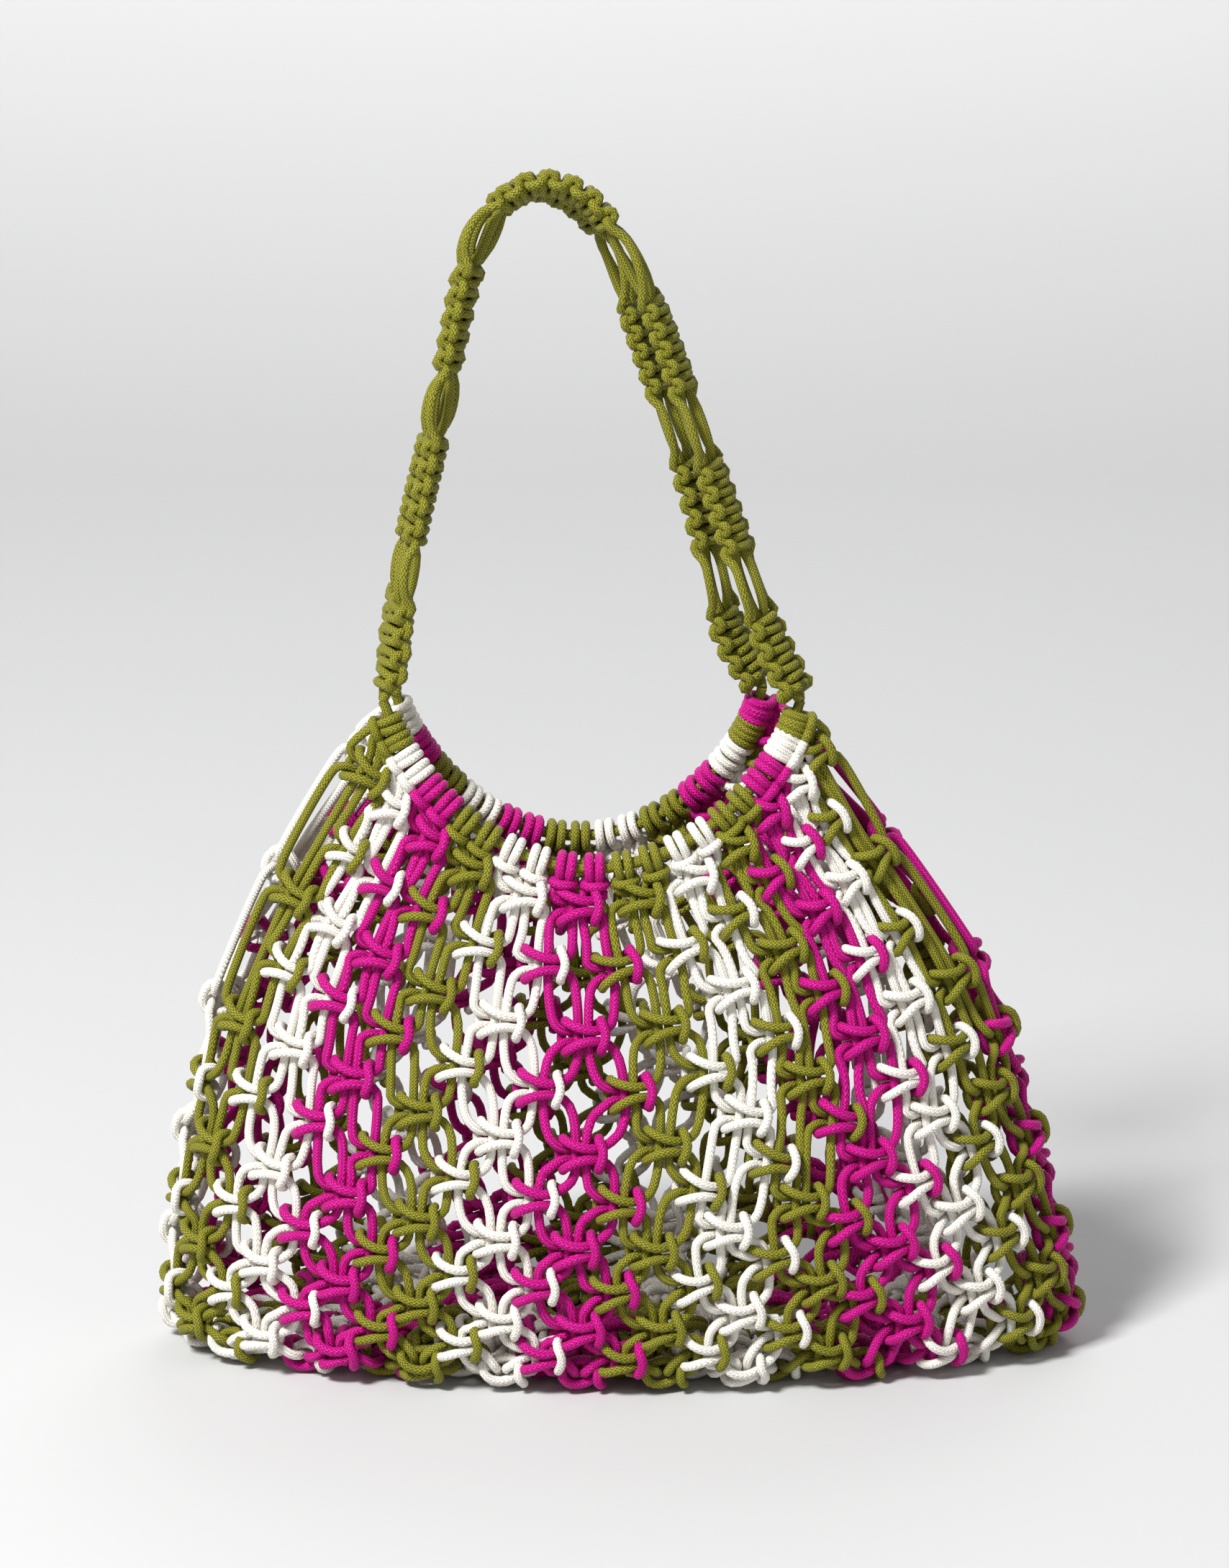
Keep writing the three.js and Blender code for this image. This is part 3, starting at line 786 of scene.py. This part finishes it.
def math_node(tree, operation, *inputs):
    """A Math node with its inputs linked or set."""
    node = tree.nodes.new("ShaderNodeMath")
    node.operation = operation
    for socket, value in zip(node.inputs, inputs):
        if isinstance(value, bpy.types.NodeSocket):
            tree.links.new(value, socket)
        else:
            socket.default_value = value
    return node.outputs[0]


def braid_height(tree, given):
    """The height of slanted ridges that change their direction from field to field."""
    split = tree.nodes.new("ShaderNodeSeparateXYZ")
    tree.links.new(given.outputs["UV"], split.inputs[0])
    along = math_node(tree, "DIVIDE", split.outputs[0], given.outputs["Bundle"])
    around = math_node(tree, "MULTIPLY", split.outputs[1], given.outputs["Around"])
    rising = math_node(tree, "ADD", along, around)
    falling = math_node(tree, "SUBTRACT", along, around)
    ridges = [math_node(tree, "SINE", math_node(tree, "MULTIPLY", math.pi, math_node(
        tree, "FRACT", count))) for count in (rising, falling)]
    fields = math_node(tree, "ADD", math_node(tree, "FLOOR", rising),
                       math_node(tree, "FLOOR", falling))
    blend = tree.nodes.new("ShaderNodeMix")
    tree.links.new(math_node(tree, "PINGPONG", fields, 1), blend.inputs["Factor"])
    tree.links.new(ridges[0], blend.inputs["A"])
    tree.links.new(ridges[1], blend.inputs["B"])
    return blend.outputs["Result"]


def make_braid_group():
    """Puts out the height of the braid and a slow variation of tone along the cord."""
    tree = bpy.data.node_groups.new("braid", "ShaderNodeTree")
    tree.interface.new_socket("UV", in_out="INPUT", socket_type="NodeSocketVector")
    for name, value in (("Bundle", bundle_length), ("Around", bundles_around)):
        socket = tree.interface.new_socket(name, in_out="INPUT", socket_type="NodeSocketFloat")
        socket.default_value = value
    for name in ("Height", "Tone"):
        tree.interface.new_socket(name, in_out="OUTPUT", socket_type="NodeSocketFloat")
    given = tree.nodes.new("NodeGroupInput")
    result = tree.nodes.new("NodeGroupOutput")
    noise = tree.nodes.new("ShaderNodeTexNoise")
    noise.inputs["Scale"].default_value = tone_scale
    tree.links.new(given.outputs["UV"], noise.inputs["Vector"])
    tree.links.new(braid_height(tree, given), result.inputs["Height"])
    tree.links.new(noise.outputs["Fac"], result.inputs["Tone"])
    return tree


braid_group = make_braid_group()
print("braid group", [item.name for item in braid_group.interface.items_tree])

# %% [markdown]
# ## The three colours
# All cords share the braid. They differ in colour and in how far their painted shade in the
# grooves between the ridges and their painted highlight on the ridge tops lie apart: far on the
# green, little on the white. The finish is half matt, with a little sheen for the soft nap of the
# thread.

# %% Cord materials
# The colours of the painted shade in the braid's grooves and of the painted highlight on its ridge
# tops, and the height of the bump.
cord_looks = {
    "green": {"painted_groove_shade": (0.02, 0.021, 0.0006), "painted_ridge_highlight": (0.30, 0.285, 0.02), "rise": 0.00030},
    "white": {"painted_groove_shade": (0.60, 0.56, 0.47), "painted_ridge_highlight": (0.90, 0.875, 0.81), "rise": 0.00020},
    "pink": {"painted_groove_shade": (0.14, 0.0003, 0.04), "painted_ridge_highlight": (0.66, 0.002, 0.28), "rise": 0.00028},
}
cord_finish = {"Roughness": 0.5, "Sheen Weight": 0.02, "Sheen Roughness": 0.5,
               "Specular IOR Level": 0.2}
tone_range = 0.5
least_tone = 0.75


def make_cord_material(colour, painted_groove_shade, painted_ridge_highlight, rise):
    """A half matt braided finish that reads the UV map, with painted shade and highlight."""
    material = bpy.data.materials.new(f"cord_{colour}")
    material.use_nodes = True
    tree = material.node_tree
    shader = tree.nodes["Principled BSDF"]
    for socket, value in cord_finish.items():
        shader.inputs[socket].default_value = value
    uv = tree.nodes.new("ShaderNodeUVMap")
    uv.uv_map = "UVMap"
    braid = tree.nodes.new("ShaderNodeGroup")
    braid.node_tree = braid_group
    tree.links.new(uv.outputs[0], braid.inputs["UV"])
    # Painted shade and highlight: dark in the braid's grooves, light on its ridge tops, blended by
    # the ridge height.
    painted_light_mix = tree.nodes.new("ShaderNodeMix")
    painted_light_mix.data_type = "RGBA"
    tree.links.new(braid.outputs["Height"], painted_light_mix.inputs["Factor"])
    painted_light_mix.inputs["A"].default_value = (*painted_groove_shade, 1)
    painted_light_mix.inputs["B"].default_value = (*painted_ridge_highlight, 1)
    tone = tree.nodes.new("ShaderNodeHueSaturation")
    value = math_node(tree, "MULTIPLY_ADD", braid.outputs["Tone"], tone_range, least_tone)
    tree.links.new(value, tone.inputs["Value"])
    tree.links.new(painted_light_mix.outputs["Result"], tone.inputs["Color"])
    tree.links.new(tone.outputs[0], shader.inputs["Base Color"])
    bump = tree.nodes.new("ShaderNodeBump")
    bump.inputs["Distance"].default_value = rise
    tree.links.new(braid.outputs["Height"], bump.inputs["Height"])
    tree.links.new(bump.outputs[0], shader.inputs["Normal"])
    return material


cord_materials = {colour: make_cord_material(colour, **look) for colour, look in cord_looks.items()}
print("materials", sorted(cord_materials))

# %% [markdown]
# ## The net
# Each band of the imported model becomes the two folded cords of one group, from the seam under the
# base up through every row, over the rim and down again. The front cords tie the seam's knots,
# and the back cords end inside them.

# %% Tie the net
band_nodes = sorted(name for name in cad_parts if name.startswith("band_"))
seam_steps = 3  # points of the back strands that reach into the seam's knots


def seam_points(group, strand):
    """Where a back strand ends, inside the knot of the front column that it meets."""
    facing = groups - 1 - group
    mirrored = 3 - strand
    exit_points = put(square_knot[mirrored], frame_of(facing + 0.5, last_row), knot_size)
    return exit_points[::-1][:seam_steps]


def band_routes(group):
    """The two folded cords of a group: up one strand, over the rim and down the other."""
    is_front = group < columns
    routes = []
    for number in (0, 1):
        legs = []
        for strand in (2 * number, 2 * number + 1):
            leg = strand_route(group, strand, 0, last_row if is_front else last_row - 1)
            if not is_front:
                leg.append(seam_points(group, strand))
            legs.append(np.vstack(leg))
        routes.append(np.vstack([legs[0][::-1], loop_of(group, number), legs[1]]))
    return routes


for node in band_nodes:
    _, panel, number, colour = node.split("_")
    index = int(number) - 1
    group = index if panel == "front" else groups - 1 - index
    add_cords(f"cords_{panel}_{number}_{colour}", node, band_routes(group), colour)
print("net: metres of cord", round(total_length, 1), "faces", total_faces)

# %% [markdown]
# ## The rim cords
# Two green cords lie side by side inside the loops and carry the whole net. They run on past the
# last loops and become the inner cords of the straps.

# %% Rim cords
core_tail = 0.005
rim_places = np.linspace(0, columns, 4 * columns + 1)


def rim_ends(side):
    """The bare ends of the rim cord, a little beyond the last loops."""
    ends = []
    for column, inner in ((0, 1), (columns, columns - 1)):
        point = rim_point(side, column)
        ends.append(point + unit(point - rim_point(side, inner)) * core_tail)
    return ends


def rim_routes(side):
    """The two cords inside the loops, one behind the other."""
    left, right = rim_ends(side)
    frames = [rim_frame(side, column) for column in rim_places]
    middle = np.array([left, *(f[0] for f in frames), right])
    outward = np.array([frames[0][3], *(f[3] for f in frames), frames[-1][3]])
    return [middle + outward * loop_size * offset for offset in (-0.5, 0.5)]


for panel, side in (("front", front), ("back", back)):
    add_cords(f"rim_cords_{panel}", f"rim_core_{panel}", rim_routes(side), "green")
print("rim cords", [len(route) for route in rim_routes(front)])

# %% [markdown]
# ## The straps
# Each strap is a chain of square knots, broken by stretches where its four cords run loose beside
# each other. Both straps are tied from the right end of the rim to the left one. Their broad face
# looks outward over the arch and turns toward the bag's front as each leg comes down.

# %% Strap routes
strap_top = 0.499
strap_step = 0.001
strap_spacing = 0.019
merge_height = 0.3
front_route = [
    {"across": -0.965, "up": 0.1}, {"across": -0.935, "up": 0.18}, {"across": -0.86, "up": 0.34},
    {"across": -0.745, "up": 0.54}, {"across": -0.68, "up": 0.69}, {"across": -0.585, "up": 0.85},
    {"across": -0.47, "up": 0.96}, {"across": -0.27, "up": 1.015}, {"across": -0.07, "up": 1},
    {"across": 0.09, "up": 0.935}, {"across": 0.285, "up": 0.79}, {"across": 0.5, "up": 0.555},
    {"across": 0.67, "up": 0.36}, {"across": 0.86, "up": 0.15},
]
back_route = [
    {"across": -0.985, "up": 0.1}, {"across": -0.95, "up": 0.2}, {"across": -0.9, "up": 0.33},
    {"across": -0.78, "up": 0.53}, {"across": -0.69, "up": 0.68}, {"across": -0.6, "up": 0.84},
    {"across": -0.48, "up": 0.95}, {"across": -0.28, "up": 0.995}, {"across": -0.08, "up": 0.965},
    {"across": 0.07, "up": 0.895}, {"across": 0.22, "up": 0.73}, {"across": 0.37, "up": 0.565},
    {"across": 0.5, "up": 0.41}, {"across": 0.6, "up": 0.26}, {"across": 0.68, "up": 0.13},
]
strap_knots = [
    {"start": 0.01, "end": 0.088}, {"start": 0.14, "end": 0.235}, {"start": 0.294, "end": 0.387},
    {"start": 0.444, "end": 0.556}, {"start": 0.627, "end": 0.711}, {"start": 0.776, "end": 0.858},
    {"start": 0.918, "end": 0.992},
]
strap_turns = [
    {"share": 0, "turn": 42}, {"share": 0.09, "turn": 32}, {"share": 0.15, "turn": 14},
    {"share": 0.3, "turn": 5}, {"share": 0.42, "turn": 0}, {"share": 0.55, "turn": 2},
    {"share": 0.63, "turn": 32}, {"share": 0.78, "turn": 42}, {"share": 1, "turn": 55},
]


def strap_line(side):
    """The middle of a strap, in small steps from the left end of the rim to the right."""
    left, right = rim_ends(side)
    arch = []
    for stop in front_route if side == front else back_route:
        apart = slit_gap + (strap_spacing - slit_gap) * min(stop["up"] / merge_height, 1)
        arch.append((stop["across"] * rim_span / 2 - rim_lean + middle_shift, side * apart / 2,
                     rim_height + (strap_top - rim_height) * stop["up"]))
    return spline([left, *arch, right], strap_step)


def strap_frames(side):
    """For a place along the strap: its middle and its directions right, down and out."""
    line = strap_line(side)
    far = lengths_along(line)
    ahead = np.gradient(line, axis=0)

    def at(length):
        """The frame of one place, given by the length along the strap."""
        point = np.array([np.interp(length, far, line[:, k]) for k in range(3)])
        forward = unit(np.array([np.interp(length, far, ahead[:, k]) for k in range(3)]))
        over = unit(np.cross(forward, (0, 1, 0)))
        aside = front * np.cross(over, forward)
        turn = math.radians(mix(strap_turns, "share", length / far[-1], "turn"))
        out = math.cos(turn) * over + math.sin(turn) * aside
        return point, np.cross(out, -forward), -forward, out

    return at, far[-1]


print("strap length", round(strap_frames(front)[1], 3), round(strap_frames(back)[1], 3))

# %% [markdown]
# ## The strap's knot
# In a strap the square knots follow each other without a space. Three are laid out in a row and
# tightened together, so that the middle one meets its neighbours as in a long chain, and only that
# one is kept.

# %% Strap knots
strap_size = 0.0039
chain_inner = 0.45  # place of the inner cords, in cord diameters
chain_reach = 4
chain_pitch = 2.23  # in cord diameters
chain_squeeze = 0.92  # how close the cords press together, in cord diameters
chain_route = [
    (1.5, -1.115, 0), (1.45, -0.7, 0.2), (1.1, -0.5, 0.75), (0.4, -0.5, 1.0), (-0.4, -0.65, 1.0),
    (-1.0, -0.85, 0.75), (-1.4, -0.8, 0), (-1.25, -0.5, -0.8), (-1.1, 0, -1.15),
]


def tie_chain_knot():
    """The middle knot of three that are tied in a chain: its left and its right cord."""
    one = there_and_back(chain_route)
    right = np.vstack([one[:-1] + [0, chain_pitch * n, 0] for n in (-1, 0, 1)])
    left = right * [-1, 1, -1]
    inner = [[(x, y, 0) for y in (-chain_reach, 0, chain_reach)]
             for x in (-chain_inner, chain_inner)]
    tied = tighten([left, right], inner, rounds=40, spacing=chain_squeeze)
    return [route[abs(route[:, 1]) < chain_pitch / 2] for route in tied]


chain_left, chain_right = tie_chain_knot()
print("chain knot", len(chain_left), len(chain_right), "points")

# %% [markdown]
# ## From one end of the strap to the other
# Knotted and loose stretches take turns. In a loose one the four cords spread and bow a little,
# each its own way. The two inner cords are the rim cords, which run on, and the two that tie the
# knots begin and end in a fold behind them.

# %% Straps
loose_parts = (0.15, 0.35, 0.65, 0.85)
loose_across = (-1.4, -chain_inner, chain_inner, 1.4)
loose_bows = ((-0.9, -1.4), (0, 0.7), (-0.1, -0.6), (0.9, 1.4))  # across and outward
loose_fullness = 1.6  # how soon a loose cord reaches its full bow
strap_fold = (0, 0, -1)
strap_strands = range(4)  # left, inner left, inner right and right


def loose_offset(cord, part):
    """Where a loose cord lies, at a share of the loose stretch, in cord diameters."""
    swing = min(loose_fullness * math.sin(math.pi * part), 1)
    across, outward = loose_bows[cord]
    return loose_across[cord] + swing * across, 0, swing * outward


def knotted_stretch(at, start, end):
    """The points of each cord through a row of knots that fills the stretch."""
    full = chain_pitch * strap_size
    count = max(int(round((end - start) / full)), 1)
    squeeze = (end - start) / count / full
    points = [[] for _ in strap_strands]
    for i in range(count):
        here = at(start + (end - start) * (i + 0.5) / count)
        for cord, tied in ((0, chain_left), (3, chain_right)):
            points[cord].append(put(tied[::-1] * [1, squeeze, 1], here, strap_size))
    for far in np.linspace(start, end, 2 * count + 1):
        for cord, x in ((1, -chain_inner), (2, chain_inner)):
            points[cord].append(put([(x, 0, 0)], at(far), strap_size))
    return points


def loose_stretch(at, start, end):
    """The points of each cord between two rows of knots."""
    frames = [at(start + (end - start) * part) for part in loose_parts]
    return [[put([loose_offset(cord, part)], here, strap_size)
             for part, here in zip(loose_parts, frames)] for cord in strap_strands]


def strap_cords(side):
    """The four cords of a strap: two that tie the knots and two that run inside."""
    at, length = strap_frames(side)
    rows = [(knots["start"] * length, knots["end"] * length) for knots in strap_knots]
    inside_cord, outside_cord = rim_routes(side)
    first_fold, last_fold = (put([strap_fold], at(far), strap_size)
                             for far in (rows[0][0], rows[-1][1]))
    cords = [[first_fold], [inside_cord[:1]], [outside_cord[:1]], [first_fold]]
    ends = [last_fold, inside_cord[-1:], outside_cord[-1:], last_fold]
    for number, (start, end) in enumerate(rows):
        stretches = [knotted_stretch(at, start, end)]
        if number + 1 < len(rows):
            stretches.append(loose_stretch(at, end, rows[number + 1][0]))
        for stretch in stretches:
            for cord in strap_strands:
                cords[cord] += stretch[cord]
    return [np.vstack([*cord, end]) for cord, end in zip(cords, ends)]


for panel, side in (("front", front), ("back", back)):
    add_cords(f"strap_cords_{panel}", f"strap_{panel}", strap_cords(side), "green")
print("all cords:", round(total_length, 1), "metres,", total_faces, "faces")
